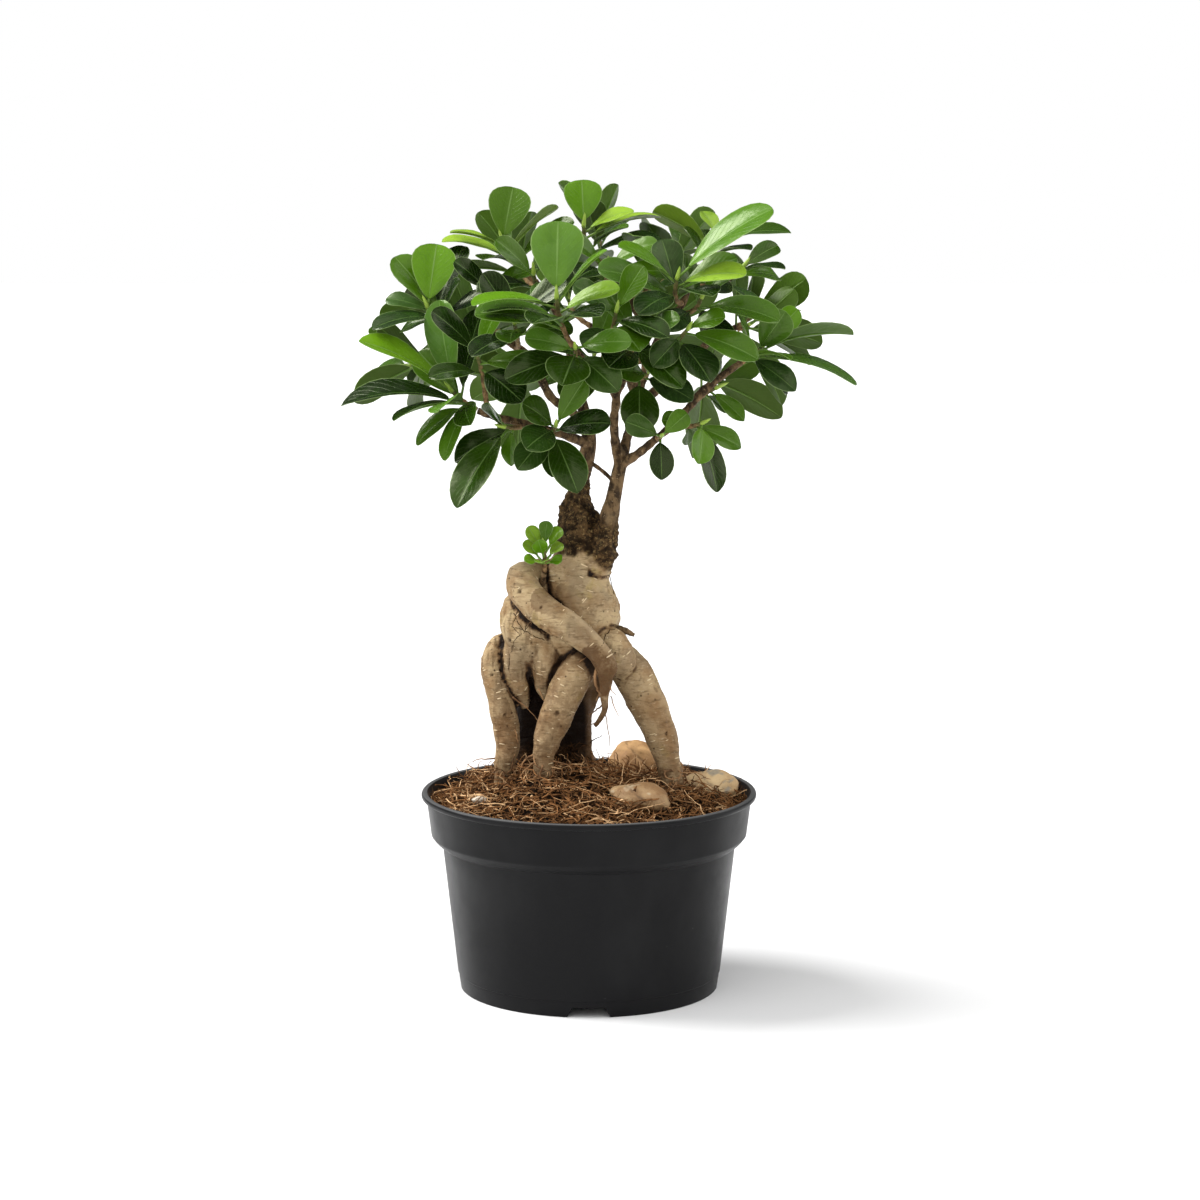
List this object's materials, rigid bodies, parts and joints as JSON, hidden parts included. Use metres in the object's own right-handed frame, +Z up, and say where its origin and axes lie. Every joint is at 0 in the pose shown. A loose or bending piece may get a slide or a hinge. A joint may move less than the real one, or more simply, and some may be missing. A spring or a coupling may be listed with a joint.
{
  "type": "potted plant",
  "caption": "Bonsai-style fig with a swollen rooted trunk and a rounded crown of glossy oval leaves, standing in soil with pebbles in a round plastic nursery pot.",
  "frame": {"origin": "under the middle of the bounding box, on the surface that the pot stands on, a few millimetres from the pot's own axis", "axes": "+Z up, -Y towards the front of the plant as pictured, +X to its right"},
  "size_m": [0.2852, 0.2074, 0.4561],
  "materials": {
    "pot_plastic": "satin charcoal moulded plastic",
    "coir": "loose reddish brown coir and peat with fine tan roots",
    "pebble": "dull tan river pebble",
    "bark": "smooth pale tan bark, rough and darker at the graft, reddish brown on the branches",
    "foliage": "glossy dark green leaf, lime on the youngest"
  },
  "bodies": {
    "root": {"chip": "pebble", "pot": "pot_plastic", "shoot_back": "foliage", "shoot_back_east": "foliage", "shoot_back_east_top": "foliage", "shoot_back_far_east": "foliage", "shoot_back_far_west": "foliage", "shoot_back_low_east": "foliage", "shoot_back_low_west": "foliage", "shoot_back_top": "foliage", "shoot_back_west": "foliage", "shoot_back_west_top": "foliage", "shoot_centre": "foliage", "shoot_east_back": "foliage", "shoot_east_centre": "foliage", "shoot_east_droop": "foliage", "shoot_east_front": "foliage", "shoot_east_hook": "foliage", "shoot_east_inner": "foliage", "shoot_east_low": "foliage", "shoot_east_mid": "foliage", "shoot_east_top": "foliage", "shoot_front_east": "foliage", "shoot_front_mid": "foliage", "shoot_front_top": "foliage", "shoot_front_west": "foliage", "shoot_inner_east": "foliage", "shoot_low_centre": "foliage", "shoot_low_oval": "foliage", "shoot_mid_front": "foliage", "shoot_mid_top": "foliage", "shoot_north_east": "foliage", "shoot_north_west": "foliage", "shoot_sprout": "foliage", "shoot_top": "foliage", "shoot_west_back": "foliage", "shoot_west_centre": "foliage", "shoot_west_droop": "foliage", "shoot_west_inner": "foliage", "shoot_west_low": "foliage", "shoot_west_mid": "foliage", "shoot_west_up": "foliage", "soil": "coir", "stone_back": "pebble", "stone_front": "pebble", "stone_right": "pebble", "trunk": "bark"}
  },
  "joints": []
}
